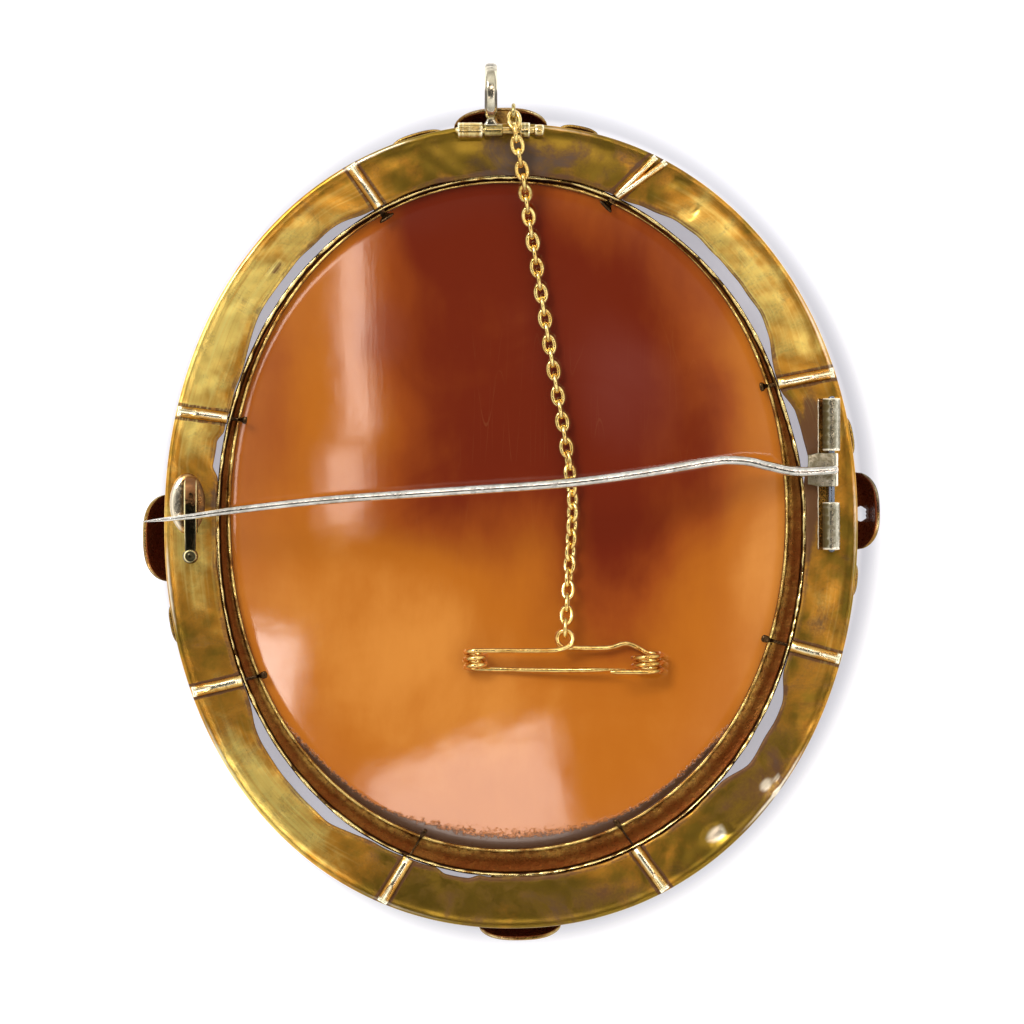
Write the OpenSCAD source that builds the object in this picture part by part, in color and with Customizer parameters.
// Cameo brooch, lying on its face: a carved shell in a stamped gilt front, closed
// behind by a flat band with eight straps, a hinged pin and its catch, a folding
// pendant bail, and a safety pin on a fine chain. Millimetres. The back faces up
// (+Z), the bail is at the top (+Y), and the front ornament stands on z = 0.

/* [Frame] */
// Width of the oval back band
frame_w = 55.5; // [50:0.5:62]
// Height of the oval back band
frame_h = 64.4; // [58:0.5:72]
// Fullness of every oval: 2 is an ellipse, more is squarer
fullness = 2.1; // [2:0.05:2.4]
// Depth of the stamped front from its crest to the band
front_depth = 7; // [6.4:0.1:9]
// How far the four scrolls stand proud of the crest
crest_rise = 0.5; // [0.2:0.1:1]
// Thickness of the stamped sheet
sheet_t = 0.4; // [0.3:0.05:0.7]
// How far the front stays inside the edge of the band
front_inset = 0.3; // [0.1:0.05:0.6]
// How far the widest of the four scrolls reaches past the edge of the band
scroll_reach = 1.9; // [1.2:0.1:2.2]
// How far the longest leaf tip reaches past the edge of the band
leaf_reach = 0.35; // [0.1:0.05:0.6]
// Width of the front from that edge to its inner lip
front_w = 2.8; // [2.4:0.1:3]

/* [Back band] */
// Mean width of the band
band_w = 3.7; // [3.2:0.1:3.8]
// How much wider the band is at the sides, top and foot than between them
band_wave = 0.35; // [0:0.05:0.4]
// Thickness of the band
band_t = 0.4; // [0.3:0.05:0.6]
// Half the width of a strap that crosses the band
strap_r = 0.5; // [0.3:0.05:0.7]
// Width of the claw at the end of a strap
claw_w = 0.6; // [0.4:0.05:0.9]
// Thickness of a claw
claw_t = 0.28; // [0.2:0.02:0.34]
// How far a claw reaches over the shell
claw_reach = 0.5; // [0.2:0.1:1]

/* [Setting] */
// How far the collar stands in from the edge of the band
collar_inset = 4.1; // [4:0.05:4.5]
// Thickness of the collar
collar_t = 0.3; // [0.2:0.05:0.4]
// Height of the collar
collar_h = 2.9; // [2.6:0.1:3.2]
// Thickness of the front ledge on which the shell lies
ledge_t = 0.35; // [0.25:0.05:0.5]
// Width of the ledge under the edge of the shell
ledge_w = 0.7; // [0.4:0.1:1.2]
// Thickness of the bezel plate behind the shell
bezel_t = 0.25; // [0.2:0.05:0.3]
// Width of the raised lip round the opening of the bezel
lip_w = 0.35; // [0.25:0.05:0.5]
// Height of that lip above the plate
lip_h = 0.25; // [0.1:0.05:0.3]
// How much of the shell's edge the bezel covers
bezel_cover = 0.3; // [0.2:0.05:0.6]

/* [Shell] */
// Space between the shell and the collar, to the left and right together
shell_play_x = 1.7; // [1.2:0.1:2.4]
// Space between the shell and the collar, above and below together
shell_play_y = 1.7; // [1.7:0.1:2.4]
// How far the shell sits to the right of the middle
shell_x = -0.25; // [-0.4:0.05:0.4]
// How far the shell sits above the middle
shell_y = 0.8; // [0:0.05:0.8]
// Thickness of the shell at its edge
shell_edge_t = 1.9; // [1.5:0.1:2.1]
// Depth of the hollow back
hollow_depth = 3; // [2:0.1:3.2]
// Height of the domed front
dome_h = 2.8; // [2:0.1:2.9]
// Height of the carving above the domed front
relief_h = 1.1; // [0.4:0.1:1.2]

/* [Pin] */
// Diameter of the pin stem
stem_d = 0.8; // [0.6:0.05:1]
// How far the hinge stands in from the right edge of the band
hinge_inset = 2.15; // [1.8:0.05:2.4]
// Height of the pin's place above the middle of the brooch
hinge_y = 4.5; // [2:0.1:7]
// Length of the pin's own knuckle
pin_knuckle_l = 2.7; // [2:0.1:3.5]
// Length of the fixed knuckle above the pin
upper_knuckle_l = 4.2; // [2:0.1:4.4]
// Length of the fixed knuckle below the pin
lower_knuckle_l = 3.8; // [2:0.1:4.5]
// Bare rivet between the pin and the lower knuckle
rivet_bare = 1.1; // [0.2:0.1:2]
// Outside diameter of the fixed knuckles
knuckle_d = 1.4; // [1.2:0.05:1.6]
// Diameter of both hinge rivets
rivet_d = 0.56; // [0.4:0.02:0.6]
// Length of the stem past the left edge of the band
stem_over = 1.6; // [1:0.1:2.4]
// How far the stem drifts down from its hinge to its point
stem_drift = 4.15; // [3.4:0.05:5]
// How far the catch stands in from the left edge of the band
catch_inset = 2.2; // [1.8:0.05:2.4]
// Height of the catch's closed end above the middle of the brooch
catch_y = 4.1; // [3.5:0.1:5]
// Clear height inside the catch
catch_gap = 1.1; // [1:0.05:1.4]
// Thickness of the catch's hook
hook_t = 0.7; // [0.5:0.05:0.9]
// Width of the catch's hook
hook_w = 1.05; // [0.8:0.05:1.3]
// Length of the hook from its closed end to its ball
hook_l = 6.5; // [5.5:0.1:7.5]

/* [Bail] */
// Outside diameter of the bail ring
bail_d = 4.6; // [4.2:0.1:5.4]
// Radial thickness of the bail ring
bail_t = 0.8; // [0.5:0.05:1]
// Width of the bail ring
bail_w = 1.1; // [0.8:0.05:1.2]
// How far the bail hinge stands in from the top edge of the band
bail_inset = 0.6; // [0.5:0.05:0.8]
// Outside diameter of the bail hinge
bail_knuckle_d = 1.3; // [1.1:0.05:1.4]

/* [Chain and safety pin] */
// Length of one chain link
link_l = 1.8; // [1.7:0.05:2]
// Width of one chain link
link_w = 1.3; // [1.25:0.05:1.4]
// Thickness of the chain's wire
link_wire = 0.28; // [0.24:0.01:0.28]
// Slack between one link and the next
link_slack = 0.18; // [0.18:0.01:0.22]
// Thickness of the safety pin's wire
safety_wire = 0.42; // [0.35:0.01:0.45]
// Length of the safety pin between the middles of its two coils
safety_l = 13.8; // [12:0.1:16]

/* [Hidden] */
$fn = 48;

// Clearances
seam = 0.05;        // between pieces that are pressed or held together
run = 0.06;         // between a rivet and a knuckle that turns on it
fit = 0.03;         // between a rivet and a knuckle that holds it
stand_off = 0.07;   // under the turning knuckles
sink = 0.1;         // how far soldered pieces run into each other

// Levels, from the front ornament up
band_z = front_depth + crest_rise + seam;      // underside of the band
top_z = band_z + band_t;                       // back face of the band
claw_drop = 0.85;                              // claw tips below the back face
collar_top = top_z - claw_drop - seam;
collar_foot = collar_top - collar_h;
shell_front_z = collar_foot + ledge_t + seam;  // front edge of the shell
shell_back_z = shell_front_z + shell_edge_t;   // back edge of the shell
bezel_z = shell_back_z + seam;

// Half sizes of the ovals
half_w = frame_w / 2;
half_h = frame_h / 2;
collar_a = half_w - collar_inset;
collar_b = half_h - collar_inset;
shell_a = collar_a - collar_t - shell_play_x / 2;
shell_b = collar_b - collar_t - shell_play_y / 2;
opening_a = shell_a - bezel_cover;
opening_b = shell_b - bezel_cover;
land = 1 - (ledge_w + stand_off) / shell_a;    // share of the shell inside its flat rim

// Scrolls of the front. Angles go round from the right.
// [angle, half its span, share of the reach, angle of its web, half the web's span]
SCROLLS = [
    [2.5, 6.5, 1, -9.5, 17.5],
    [91.5, 6.8, 0.74, 92.5, 21.5],
    [182, 7.2, 0.97, 191.5, 20.5],
    [271.3, 6, 0.58, 287.5, 23.5]
];
// Leaf tips of the front that peep past the band: [angle, half its span, share of the reach]
LEAF_TIPS = [[14.9, 3.4, 0.7], [80.2, 3, 1], [103.6, 4, 0.86], [196.2, 3.4, 0.7], [351.1, 3, 0.57]];
scroll_gape = 2;        // how far a scroll's free edge stands off the band
web_blend = 4;          // degrees over which the inner lip turns in to the collar
// Section of the stamped front: [share of its width, share of its depth]
FRONT_SECTION = [[0, 0], [0.02, 0.36], [0.12, 0.7], [0.3, 0.93], [0.52, 1], [0.74, 0.88], [0.92, 0.62],
    [1, 0.38]];
// Degrees at which the front has a ring of points, each side of a quarter's axis
FINE_STEPS = [-9, -7.5, -6, -4.5, -3, -1.5, 0, 1.5, 3, 4.5, 6, 7.5, 9];
COARSE_STEPS = [for (i = [0 : 13]) 14 + i * 62 / 13];
FRONT_ANGLES = [for (q = [0 : 3]) each concat([for (s = FINE_STEPS) q * 90 + s],
    [for (s = COARSE_STEPS) q * 90 + s])];

// Straps: [angle at the band's outer edge, angle at its inner edge]
STRAPS = [[25.4, 26.6], [68.5, 71.8], [114, 113.2], [161, 160.2], [207.5, 208.5], [251, 252.3],
    [293, 291.8], [338, 338]];

// Carved forms, seen from the front with right and up positive, as shares of the shell's half
// height: [right, up, half length, half width, turn, share of the relief]
CARVING = [
    [0.07, 0.27, 0.29, 0.22, 78, 0.86],     // face and jaw
    [0.2, 0.38, 0.12, 0.1, 70, 0.72],       // brow
    [0.3, 0.25, 0.085, 0.055, -62, 0.7],    // nose
    [0.25, 0.13, 0.06, 0.05, 0, 0.66],      // lips
    [0.2, 0.02, 0.085, 0.075, 20, 0.72],    // chin
    [-0.08, 0.42, 0.31, 0.25, 18, 1],       // hair over the head
    [-0.33, 0.3, 0.16, 0.14, -30, 0.98],    // knot of hair
    [-0.24, 0.08, 0.13, 0.065, 70, 0.8],    // falling lock
    [-0.31, -0.08, 0.12, 0.06, 84, 0.7],    // second lock
    [-0.03, -0.12, 0.26, 0.14, 66, 0.62],   // neck
    [-0.05, -0.46, 0.5, 0.25, 0, 0.72],     // shoulders
    [-0.22, -0.42, 0.34, 0.075, 38, 0.92],  // first fold of the dress
    [-0.05, -0.52, 0.42, 0.08, 22, 0.9],    // second fold
    [0.16, -0.6, 0.3, 0.07, 8, 0.86],       // third fold
    [0.24, -0.36, 0.12, 0.11, 0, 0.95],     // rose on the breast
    [-0.02, 0.62, 0.11, 0.06, 20, 0.95],    // leaf in the hair
    [0.13, 0.57, 0.1, 0.05, -20, 0.9]       // second leaf
];
carve_rings = 19;       // rings of points on the front of the shell
carve_spokes = 80;      // points in each ring
hollow_rings = 5;       // rings of points on the back

// Pin hinge, its base plate and the stem
knuckle_r = knuckle_d / 2;
rivet_r = rivet_d / 2;
hinge_x = half_w - hinge_inset;
hinge_base_t = 0.2;
hinge_base_w = 2.2;
hinge_z = top_z + hinge_base_t + knuckle_r - seam;
pin_knuckle_r = hinge_z - top_z - hinge_base_t - stand_off;
pin_plate_l = 1.9;      // from the hinge to the plate's end
pin_plate_t = 0.25;
hinge_side = seam * 3;  // beside the turning knuckle
rivet_end = 0.2;        // rivet past each end of its hinge

// Catch: an oval base with a hook bent from a strip
catch_base_t = 0.3;
catch_base_l = 4.9;
catch_base_w = 2.9;
hook_foot_t = 0.3;
hook_foot_l = 3.4;
hook_ball_d = 1.25;
catch_x = catch_inset - half_w;
hook_z = top_z + catch_base_t + hook_foot_t;   // floor of the hook's inside
hook_top = hook_z + catch_gap + hook_t;

// Stem: [share of the way from the hinge to the point, share of its drift, share of its diameter]
STEM = [
    [-0.006, 0, 0.9], [0.05, 0.04, 1], [0.094, -0.07, 1], [0.118, -0.15, 1], [0.146, -0.18, 1],
    [0.175, -0.15, 1], [0.28, 0.08, 1], [0.395, 0.27, 0.98], [0.57, 0.43, 0.95], [0.73, 0.58, 0.9],
    [0.86, 0.77, 0.78], [0.93, 0.9, 0.62], [0.97, 0.96, 0.38], [1, 1, 0.08]
];
STEM_SIDES = 12;
stem_z0 = hinge_z + pin_knuckle_r + stem_d / 2 - sink;
stem_tip_x = -half_w - stem_over;
stem_span = hinge_x - stem_tip_x;
catch_share = (hinge_x - catch_x) / stem_span;
catch_rise = hook_top + seam + stem_d / 2 * 0.7 - stem_z0;   // by the catch

// Bail hinge, along X: [from, to] of its pieces, each from the middle of the brooch
BAIL_LEFT = [-4.25, -2.25];
BAIL_OWN = [-2.15, -0.65];
BAIL_RIGHT = [0.72, 1.52];
BAIL_HEAD = [1.85, 2.65];
bail_knuckle_r = bail_knuckle_d / 2;
bail_y = half_h - bail_inset;
bail_z = top_z + bail_knuckle_r - seam;
bail_own_r = bail_knuckle_r - seam - stand_off;
bail_neck = 0.3;        // from the knuckle to the ring
bail_ring_x = BAIL_OWN[0] + bail_w / 2;
bail_reach = bail_own_r + bail_neck + bail_d / 2;
bail_head_r = 0.5;

// Eye that holds the chain, past the top edge of the band
eye_x = 0.2;
eye_y = half_h + 0.9;
eye_z = top_z + 1.05;
eye_r = 0.52;           // to the middle of its wire
eye_wire = 0.32;

// Chain route between the eye and the safety pin's loop: [x, y, lift above what lies beneath]
CHAIN_ROUTE = [
    [0.28, 32.1, 1.48], [0.4, 31, 1.62], [0.6, 29.9, 1.32], [0.8, 28.8, 0.92], [1, 27.7, 0.57],
    [1.35, 25.2, 1], [1.95, 21.5, 0.8], [2.8, 16.2, 0.78], [3.6, 11.4, 0.78],
    [4.25, 7.6, 0.78], [4.8, 3.8, 0.78], [4.95, 1.4, 0.78], [4.75, -2.3, 0.78], [4.65, -4, 0.92],
    [4.55, -5.7, 1.3], [4.45, -7.2, 1.66]
];
chain_end = 0.2;        // from the loop's inside to the last link's end, less half their wires
ROUTE_STEPS = 6;        // points of the curve for each stretch of the route
LINK_SIDES = 12;
LINK_WIRE_SIDES = 5;
TWIST_FROM = 0.62;      // share of the route at which the links begin to lie askew
TWIST_FULL = 0.75;
TWIST_BACK = 0.82;

// Safety pin, in its own place: x from the left coil, y across, z up
safety_r = safety_wire / 2;
left_coil_r = 0.8;
right_coil_r = 1.15;
safety_x = -2.85;
safety_y = -10.85;
safety_loop_x = 7.2;
safety_loop_y = 1.75;
safety_loop_r = 0.7;
loop_rise = 0.7;        // of the loop's far side above the wires
coil_pitch = 0.6;
coil_turns = 2.5;
coil_side = 0.1;        // from the coils' ends to the wires that leave them
safety_hook_l = 3;      // from the right coil to the hooked end
safety_bend_l = 1.6;    // from the right coil to the bend of the upper wire
safety_point_l = 1.7;   // from the right coil to the point
loop_drop = 0.4;        // by which the loop's near side lies lower than its far side
WIRE_SIDES = 6;
COIL_STEP = 30;         // degrees between rings of a coil

// Middle of the whole piece, in the plane that it stands on
edge_points = [for (a = FRONT_ANGLES) edge(a, -front_reach(a))];
middle_x = (min(stem_tip_x, min([for (p = edge_points) p.x])) + max([for (p = edge_points) p.x])) / 2;
middle_y = (min([for (p = edge_points) p.y]) + bail_y + bail_reach + bail_d / 2) / 2;

// Basic functions
function sgn(v) = v < 0 ? -1 : 1;
function unit(v) = v / norm(v);
function mix(a, b, t) = a + (b - a) * t;
function ramp(t) = let (u = min(1, max(0, t))) u * u * (3 - 2 * u);
function square_to(v, t) = unit(v - (v * t) * t);
function turned(p, a) = [p.x * cos(a) - p.y * sin(a), p.x * sin(a) + p.y * cos(a)];
// Degrees from b to a, between -180 and 180
function apart(a, b) = let (d = (a - b) % 360) d > 180 ? d - 360 : d < -180 ? d + 360 : d;

// Point at an angle of an oval with half sizes a and b
function oval(a, b, angle) = let (c = cos(angle), s = sin(angle),
    r = pow(pow(abs(c) / a, fullness) + pow(abs(s) / b, fullness), -1 / fullness)) [r * c, r * s];
// Outward direction at a point of that oval
function outward(a, b, p) = unit([sgn(p.x) * pow(abs(p.x) / a, fullness - 1) / a,
    sgn(p.y) * pow(abs(p.y) / b, fullness - 1) / b]);
// Point at an angle of the band's edge, moved in by an inset
function edge(angle, inset) = let (p = oval(half_w, half_h, angle)) p - outward(half_w, half_h, p) * inset;
function band_width(angle) = band_w + band_wave * cos(4 * angle);
function oval_points(a, b, n = 96) = [for (i = [0 : n - 1]) oval(a, b, i * 360 / n)];

// Swell of a scroll at an angle, full in its middle and round at its ends
function swell(angle, middle, half) = let (t = abs(apart(angle, middle)) / half)
    t < 1 ? pow(1 - pow(t, 3), 0.5) : 0;
function scroll_swell(angle) = max([for (s = SCROLLS) swell(angle, s[0], s[1])]);
function front_reach(angle) = max(concat(
    [for (s = SCROLLS) (s[2] * scroll_reach + front_inset) * swell(angle, s[0], s[1])],
    [for (t = LEAF_TIPS) (t[2] * leaf_reach + front_inset) * swell(angle, t[0], t[1])])) - front_inset;
function web(angle) = max([for (s = SCROLLS) ramp((s[4] - abs(apart(angle, s[3]))) / web_blend)]);

// Height of the shell's back and front, and of its carving, at a point from the shell's middle
function shell_share(x, y) = min(1, pow(pow(abs(x) / shell_a, fullness) + pow(abs(y) / shell_b, fullness),
    2 / fullness));
function hollow_z(x, y) = shell_back_z - hollow_depth * (1 - shell_share(x, y));
function dome_z(x, y) = shell_front_z - dome_h * (1 - min(1, shell_share(x, y) / pow(land, 2)));
function form_rise(f, x, y) = let (q = turned([-x / shell_b - f[0], y / shell_b - f[1]], -f[4]),
    t = pow(q.x / f[2], 2) + pow(q.y / f[3], 2)) t < 1 ? f[5] * pow(1 - t, 0.4) : 0;
function carved(x, y) = relief_h * max([for (f = CARVING) form_rise(f, x, y)]);
// Height of what lies under a point of the brooch's back
function rest_z(x, y) = let (u = x - shell_x, v = y - shell_y)
    shell_share(u, v) < 0.98 ? hollow_z(u, v) : top_z;

// Joins rings of points, each turning left about the way the rings run, into a skin with flat ends, or
// with the last ring joined to the first
module skin(rings, looped = false) {
    n = len(rings);
    m = len(rings[0]);
    walls = [for (i = [0 : looped ? n - 1 : n - 2], j = [0 : m - 1])
        let (k = (i + 1) % n, l = (j + 1) % m)
        each [[i * m + j, k * m + j, i * m + l], [i * m + l, k * m + j, k * m + l]]];
    ends = looped ? [] : [[for (j = [0 : m - 1]) j], [for (j = [m - 1 : -1 : 0]) (n - 1) * m + j]];
    polyhedron(points = [for (r = rings) each r], faces = concat(walls, ends), convexity = 10);
}

// Skin of rings that closes in a point at each end
module capped_skin(first, rings, last) {
    n = len(rings);
    m = len(rings[0]);
    walls = [for (i = [0 : n - 2], j = [0 : m - 1]) let (l = (j + 1) % m)
        each [[i * m + j, (i + 1) * m + j, i * m + l], [i * m + l, (i + 1) * m + j, (i + 1) * m + l]]];
    fans = [for (j = [0 : m - 1]) let (l = (j + 1) % m)
        each [[n * m, j, l], [n * m + 1, (n - 1) * m + l, (n - 1) * m + j]]];
    polyhedron(points = concat([for (r = rings) each r], [first, last]), faces = concat(walls, fans),
        convexity = 10);
}

// Direction of a path at one of its points
function heading(path, i) = unit(path[min(i + 1, len(path) - 1)] - path[max(i - 1, 0)]);
// Normals carried along a path without twist
function normals(path, start) = [for (i = 0, v = square_to(start, heading(path, 0)); i < len(path);
    i = i + 1, v = i < len(path) ? square_to(v, heading(path, i)) : v) v];
// Rings of a round wire along a path
function wire_rings(path, radii, sides, start) = let (ns = normals(path, start))
    [for (i = [0 : len(path) - 1]) let (t = heading(path, i), u = ns[i], w = cross(t, u))
        [for (j = [0 : sides - 1]) let (a = j * 360 / sides)
            path[i] + radii[i] * (u * cos(a) + w * sin(a))]];

// Front: one stamped sheet with four scrolls, and the collar and ledge of the shell's seat
module front_frame() {
    color("darkgoldenrod") {
        stamped_front();
        seat();
    }
}

module stamped_front() {
    skin([for (a = FRONT_ANGLES) front_ring(a)], looped = true);
}

function front_ring(angle) = let (
        swollen = scroll_swell(angle),
        outer = -front_reach(angle),
        inner = mix(front_inset + front_w, collar_inset + collar_t / 2, web(angle)),
        width = inner - outer,
        rim = scroll_gape * swollen,
        depth = front_depth + crest_rise * swollen,
        narrow = 1 - 2 * sheet_t / width,
        shallow = 1 - sheet_t / depth)
    concat([for (s = FRONT_SECTION)
            front_point(angle, outer + s[0] * width, max(rim * (1 - s[0]), s[1] * depth))],
        [for (i = [len(FRONT_SECTION) - 1 : -1 : 0]) let (s = FRONT_SECTION[i])
            front_point(angle, outer + (0.5 + (s[0] - 0.5) * narrow) * width,
                max(rim * (1 - s[0]), s[1] * depth * shallow))]);
// Point of the front at an inset from the band's edge and a depth below the band
function front_point(angle, inset, depth) = let (p = edge(angle, inset)) [p.x, p.y, band_z - seam - depth];

// Collar with its ledge, open at the middle where the shell shows
module seat() {
    translate([0, 0, collar_foot]) linear_extrude(collar_h) difference() {
        polygon(oval_points(collar_a, collar_b));
        polygon(oval_points(collar_a - collar_t, collar_b - collar_t));
    }
    translate([0, 0, collar_foot]) linear_extrude(ledge_t) difference() {
        polygon(oval_points(collar_a - collar_t / 2, collar_b - collar_t / 2));
        translate([shell_x, shell_y]) polygon(oval_points(shell_a - ledge_w, shell_b - ledge_w));
    }
}

// Back band with its straps and claws, both hinges' fixed knuckles, the catch and the chain's eye
module back_band() {
    color("goldenrod") {
        translate([0, 0, band_z]) linear_extrude(band_t) difference() {
            polygon(oval_points(half_w, half_h));
            polygon([for (i = [0 : 95]) edge(i * 3.75, band_width(i * 3.75))]);
        }
        for (s = STRAPS) strap(s);
        pin_hinge();
        bail_hinge();
        catch();
        chain_eye();
    }
}

// Half-round strap across the band, and the claw that it ends in
module strap(s) {
    start = edge(s[0], sink);
    end = edge(s[1], band_width(s[1]));
    tip = oval(opening_a, opening_b, s[1]) * (1 - claw_reach / opening_b) + [shell_x, shell_y];
    run_l = norm(end - start);
    claw_l = norm(tip - end);
    half_round = [for (a = [0 : 20 : 180]) strap_r * [cos(a), sin(a)]];
    translate([start.x, start.y, top_z - sink]) rotate([0, 0, atan2(end.y - start.y, end.x - start.x)])
        rotate([90, 0, 90]) linear_extrude(run_l) polygon(half_round);
    translate([end.x, end.y, top_z]) rotate([0, 0, atan2(tip.y - end.y, tip.x - end.x)]) rotate([90, 0, 0])
        linear_extrude(claw_w, center = true) polygon([
            [-2 * sink, 0], [0.1 * claw_l, 0], [0.55 * claw_l, -0.5 * (claw_drop - claw_t)],
            [claw_l, claw_t - claw_drop], [claw_l, -claw_drop],
            [0.55 * claw_l, -0.5 * (claw_drop - claw_t) - claw_t], [-2 * sink, -claw_t]]);
}

// Tube between two places along an axis, with its bore
module knuckle(from, to, r, bore_r) {
    translate([0, 0, from]) difference() {
        cylinder(r = r, h = to - from);
        translate([0, 0, -1]) cylinder(r = bore_r, h = to - from + 2);
    }
}

module pin_hinge() {
    half = pin_knuckle_l / 2 + hinge_side;
    low = hinge_y - half - rivet_bare - lower_knuckle_l;
    high = hinge_y + half + upper_knuckle_l;
    translate([hinge_x - hinge_base_w / 2, low, top_z - sink])
        cube([hinge_base_w, high - low, hinge_base_t + sink]);
    translate([hinge_x, 0, hinge_z]) rotate([90, 0, 0]) {
        knuckle(-high, -hinge_y - half, knuckle_r, rivet_r + fit);
        knuckle(-low - lower_knuckle_l, -low, knuckle_r, rivet_r + fit);
    }
}

module bail_hinge() {
    translate([0, bail_y, bail_z]) rotate([90, 0, 90]) {
        knuckle(BAIL_LEFT[0], BAIL_LEFT[1], bail_knuckle_r, rivet_r + fit);
        knuckle(BAIL_RIGHT[0], BAIL_RIGHT[1], bail_knuckle_r, rivet_r + fit);
    }
}

// Oval base and the hook, closed at the top, that the pin springs under
module catch() {
    inside = catch_gap / 2;
    middle = catch_y - inside - hook_t;
    lower = [for (a = [-90 : 15 : 90]) [inside * cos(a), inside * sin(a)]];
    outer = [for (a = [90 : -15 : -90]) [(inside + hook_t) * cos(a),
        (inside + (a > 0 ? hook_t : hook_foot_t + sink)) * sin(a)]];
    arm = hook_l - inside - hook_t;
    translate([catch_x, catch_y - catch_base_l / 2, top_z - sink]) scale([catch_base_w / catch_base_l, 1, 1])
        cylinder(d = catch_base_l, h = catch_base_t + sink);
    translate([catch_x, middle, hook_z + inside]) rotate([90, 0, 90]) linear_extrude(hook_w, center = true)
        polygon(concat([[-hook_foot_l, -inside]], lower, [[-arm, inside], [-arm, inside + hook_t]], outer,
            [[-hook_foot_l, -inside - hook_foot_t - sink]]));
    translate([catch_x, middle - arm, hook_z + catch_gap + hook_t / 2]) sphere(d = hook_ball_d);
}

// Eye on a short arm at the top of the band
module chain_eye() {
    arm_w = 0.7;
    translate([eye_x - arm_w / 2, half_h - bail_inset, band_z])
        cube([arm_w, eye_y - half_h + bail_inset + eye_wire, band_t]);
    translate([eye_x, eye_y, top_z - sink]) cylinder(d = eye_wire * 1.4, h = eye_z - eye_r - top_z + sink);
    translate([eye_x, eye_y, eye_z]) rotate([90, 0, 90]) rotate_extrude()
        translate([eye_r, 0]) circle(d = eye_wire, $fn = 16);
}

// Bezel: a thin plate that fills the collar, with a raised lip round the shell
module bezel() {
    color("peru") translate([0, 0, bezel_z]) {
        linear_extrude(bezel_t) difference() {
            polygon(oval_points(collar_a - collar_t - seam, collar_b - collar_t - seam));
            translate([shell_x, shell_y]) polygon(oval_points(opening_a, opening_b));
        }
        linear_extrude(bezel_t + lip_h) difference() {
            intersection() {
                polygon(oval_points(collar_a - collar_t - seam, collar_b - collar_t - seam));
                translate([shell_x, shell_y]) polygon(oval_points(opening_a + lip_w, opening_b + lip_w));
            }
            translate([shell_x, shell_y]) polygon(oval_points(opening_a, opening_b));
        }
    }
}

// Shell: hollow behind, domed in front, with the carving raised on the dome
module cameo() {
    color("chocolate") translate([shell_x, shell_y, 0])
        capped_skin(carved_point(0, 0), concat(
            [for (i = [1 : carve_rings]) [for (j = [0 : carve_spokes - 1])
                let (p = shell_point(i < carve_rings ? land * i / (carve_rings - 1) : 1, j))
                    carved_point(p.x, p.y)]],
            [for (i = [hollow_rings : -1 : 1]) [for (j = [0 : carve_spokes - 1])
                let (p = shell_point(i / hollow_rings, j)) [p.x, p.y, hollow_z(p.x, p.y)]]]),
            [0, 0, hollow_z(0, 0)]);
}

function shell_point(share, spoke) = oval(shell_a, shell_b, spoke * 360 / carve_spokes) * share;
function carved_point(x, y) = [x, y, dome_z(x, y) - carved(x, y)];

// Pin: its knuckle, the plate beside it, and the long tapered stem
module pin() {
    color("silver") {
        translate([hinge_x, hinge_y, hinge_z]) {
            rotate([90, 0, 0]) knuckle(-pin_knuckle_l / 2, pin_knuckle_l / 2, pin_knuckle_r, rivet_r + run);
            translate([-pin_plate_l, -pin_knuckle_l / 2, pin_knuckle_r - pin_plate_t - seam])
                cube([pin_plate_l + rivet_r / 2, pin_knuckle_l, pin_plate_t]);
        }
        path = [for (s = STEM) [hinge_x - s[0] * stem_span, hinge_y - s[1] * stem_drift,
            stem_z0 + catch_rise * s[0] / catch_share]];
        skin(wire_rings(path, [for (s = STEM) s[2] * stem_d / 2], STEM_SIDES, [0, 0, 1]));
    }
}

module pin_rivet() {
    half = pin_knuckle_l / 2 + hinge_side;
    low = hinge_y - half - rivet_bare - lower_knuckle_l - rivet_end;
    high = hinge_y + half + upper_knuckle_l + rivet_end;
    color("lightsteelblue") translate([hinge_x, high, hinge_z]) rotate([90, 0, 0])
        cylinder(r = rivet_r, h = high - low);
}

// Bail: a ring that stands out past the band, on the knuckle that it turns with
module bail() {
    color("gainsboro") translate([0, bail_y, bail_z]) {
        rotate([90, 0, 90]) knuckle(BAIL_OWN[0], BAIL_OWN[1], bail_own_r, rivet_r + run);
        translate([bail_ring_x - bail_w / 2, 0, 0]) rotate([90, 0, 90]) difference() {
            union() {
                translate([bail_reach, 0]) cylinder(d = bail_d, h = bail_w);
                translate([rivet_r + 2 * run, -bail_own_r * 0.8])
                    cube([bail_reach, bail_own_r * 1.6, bail_w]);
            }
            translate([bail_reach, 0, -1]) cylinder(d = bail_d - 2 * bail_t, h = bail_w + 2);
        }
    }
}

module bail_rivet() {
    color("darkkhaki") translate([0, bail_y, bail_z]) rotate([90, 0, 90]) {
        translate([0, 0, BAIL_LEFT[0] - rivet_end]) cylinder(r = rivet_r,
            h = BAIL_HEAD[1] - BAIL_LEFT[0] + rivet_end);
        translate([0, 0, BAIL_HEAD[0]]) cylinder(r = bail_head_r, h = BAIL_HEAD[1] - BAIL_HEAD[0]);
    }
}

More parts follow.
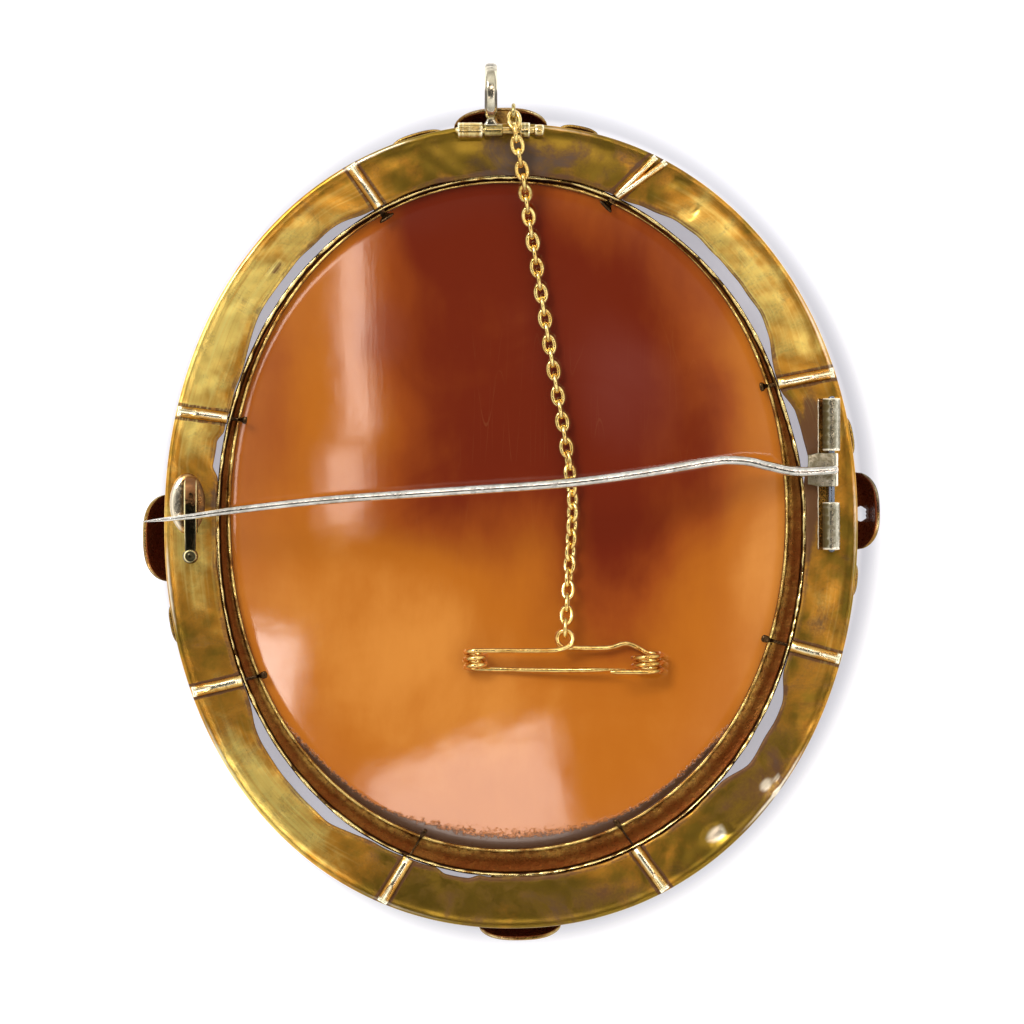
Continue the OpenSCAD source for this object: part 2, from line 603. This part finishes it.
// Chain of oval links, each turned a quarter from the one before
wires_half = (link_wire + safety_wire) / 2;
loop_top = [safety_x + safety_loop_x, safety_y + safety_loop_y + safety_loop_r,
    rest_z(safety_x + safety_l, safety_y) + safety_r + stand_off + loop_rise];
route = concat([[eye_x, eye_y, eye_z]], [for (p = CHAIN_ROUTE) [p.x, p.y, rest_z(p.x, p.y) + p.z]],
    [loop_top + [0, wires_half, 0], loop_top - [0, chain_end + wires_half, 0]]);
function route_point(i) = route[min(len(route) - 1, max(0, i))];
function between(a, b, c, d, t) = 0.5 * (2 * b + (c - a) * t + (2 * a - 5 * b + 4 * c - d) * t * t
    + (3 * b - a - 3 * c + d) * t * t * t);
curve = concat([for (i = [0 : len(route) - 2], k = [0 : ROUTE_STEPS - 1])
    between(route_point(i - 1), route_point(i), route_point(i + 1), route_point(i + 2), k / ROUTE_STEPS)],
    [route[len(route) - 1]]);
gone = [for (i = 0, s = 0; i < len(curve); i = i + 1,
    s = i < len(curve) ? s + norm(curve[i] - curve[i - 1]) : s) s];
route_l = gone[len(gone) - 1];
function along(s) = [for (k = [0 : 2]) lookup(s, [for (i = [0 : len(curve) - 1]) [gone[i], curve[i][k]]])];
link_half = (link_l - link_wire) / 2;      // to the middle of the wire at a link's end
link_step = 2 * link_half - link_wire - link_slack;
link_count = ceil((route_l - 2 * link_half) / link_step) + 1;
link_pitch = (route_l - 2 * link_half) / (link_count - 1);
end_twist = link_count % 2 == 0 ? 0 : 90;  // so that the last link stands on edge
function twist(share) = share < TWIST_BACK ? 45 * ramp((share - TWIST_FROM) / (TWIST_FULL - TWIST_FROM))
    : mix(45, end_twist, ramp((share - TWIST_BACK) / (1 - TWIST_BACK)));

module safety_chain() {
    color("gold") for (i = [0 : link_count - 1]) link(i);
}

module link(i) {
    s = link_half + i * link_pitch;
    t = unit(along(s + link_pitch / 2) - along(s - link_pitch / 2));
    flat = unit(cross(t, [0, 0, 1]));
    roll = twist(i / (link_count - 1)) + 90 * (i % 2);
    across = flat * cos(roll) + cross(flat, t) * sin(roll);
    half_across = (link_w - link_wire) / 2;
    middle = along(s);
    skin([for (j = [0 : LINK_SIDES - 1]) let (a = j * 360 / LINK_SIDES,
            spot = middle + t * link_half * cos(a) + across * half_across * sin(a),
            out = unit(t * cos(a) / link_half + across * sin(a) / half_across),
            up = cross(across, t))
        [for (k = [0 : LINK_WIRE_SIDES - 1]) let (b = k * 360 / LINK_WIRE_SIDES)
            spot + link_wire / 2 * (out * cos(b) + up * sin(b))]], looped = true);
}

// Safety pin: one wire from its hooked end round the right coil, the loop and the left coil to its point
module safety_pin() {
    left_z = rest_z(safety_x, safety_y) + left_coil_r + safety_r + stand_off;
    right_z = rest_z(safety_x + safety_l, safety_y) + right_coil_r + safety_r + stand_off;
    path = [for (p = safety_path(right_z - left_z)) p + [safety_x, safety_y, left_z]];
    color("gold") skin(wire_rings(path, [for (p = path) safety_r], WIRE_SIDES, [0, 1, 0]));
}

// Turns of a coil about an axis across the pin: middle [x, z], start in y, angles and rise for a turn
function coil(middle, r, y, from, to, pitch) = let (n = round(abs(to - from) / COIL_STEP))
    [for (i = [0 : n]) let (a = mix(from, to, i / n))
        [middle[0] + r * cos(a), y + pitch * abs(a - from) / 360, middle[1] + r * sin(a)]];
function safety_path(right_z) = let (
        half_coil = coil_turns * coil_pitch / 2,
        turn = coil_turns * 360,
        upper_y = half_coil + coil_side,
        low = right_z - right_coil_r,
        loop_z = low + loop_rise)
    concat(
        [[safety_l - safety_hook_l, -upper_y, right_z + right_coil_r - coil_side]],
        coil([safety_l, right_z], right_coil_r, -upper_y, 90, 90 - turn, coil_pitch),
        [[safety_l - safety_bend_l, safety_loop_y - safety_loop_r / 2, low + coil_side],
            [safety_l - 2 * safety_bend_l, safety_loop_y - safety_loop_r, low + coil_side]],
        [for (a = [-80 : -30 : -410]) let (t = (-80 - a) / 330)
            [safety_loop_x + safety_loop_r * cos(a) + mix(safety_r, -safety_r, t) * 0.7,
                safety_loop_y + safety_loop_r * sin(a), loop_z + loop_drop * mix(-1, 0.75, t)]],
        [[safety_loop_x - 0.6 * safety_loop_r, upper_y + coil_side, loop_z + loop_drop],
            [safety_loop_x - 2.3 * safety_loop_r, upper_y, loop_z + loop_drop]],
        coil([0, 0], left_coil_r, upper_y, 90, 90 + turn, -coil_pitch),
        [[safety_l / 2, -half_coil, (right_z - left_coil_r) / 2],
            [safety_l - safety_point_l, coil_side - half_coil, right_z]]);

// Moves a piece so that the origin is the middle of the whole at its foot
module placed() {
    translate([-middle_x, -middle_y, 0]) children();
}

placed() front_frame();
placed() back_band();
placed() bezel();
placed() cameo();
placed() pin();
placed() pin_rivet();
placed() bail();
placed() bail_rivet();
placed() safety_chain();
placed() safety_pin();
